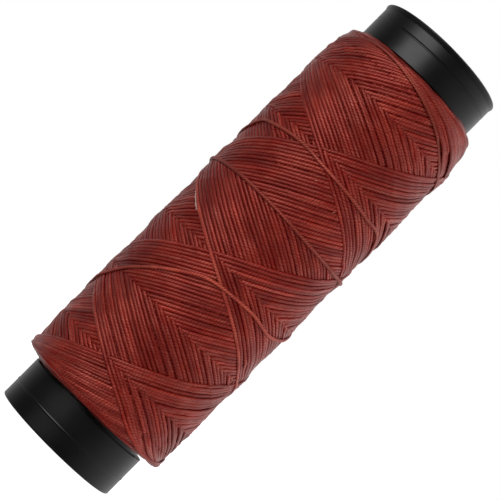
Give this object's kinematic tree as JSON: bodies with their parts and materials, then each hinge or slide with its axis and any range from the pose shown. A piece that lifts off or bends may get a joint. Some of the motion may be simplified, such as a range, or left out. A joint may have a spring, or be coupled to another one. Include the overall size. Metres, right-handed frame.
{
  "type": "thread spool",
  "caption": "Moulded tube wound crosswise with dark red waxed thread, bare at both ends, for sewing leather by hand.",
  "frame": {"origin": "middle of the foot's face, on the tube's axis", "axes": "+Z along the tube's axis, from the foot end to the head end; -Y faces the reference view"},
  "size_m": [0.0362, 0.0362, 0.106],
  "materials": {
    "tube": "satin",
    "thread": "waxed"
  },
  "bodies": {
    "root": {"core_tube": "tube", "thread_package": "thread", "crossed_turns": "thread", "closing_wraps": "thread"}
  },
  "joints": []
}
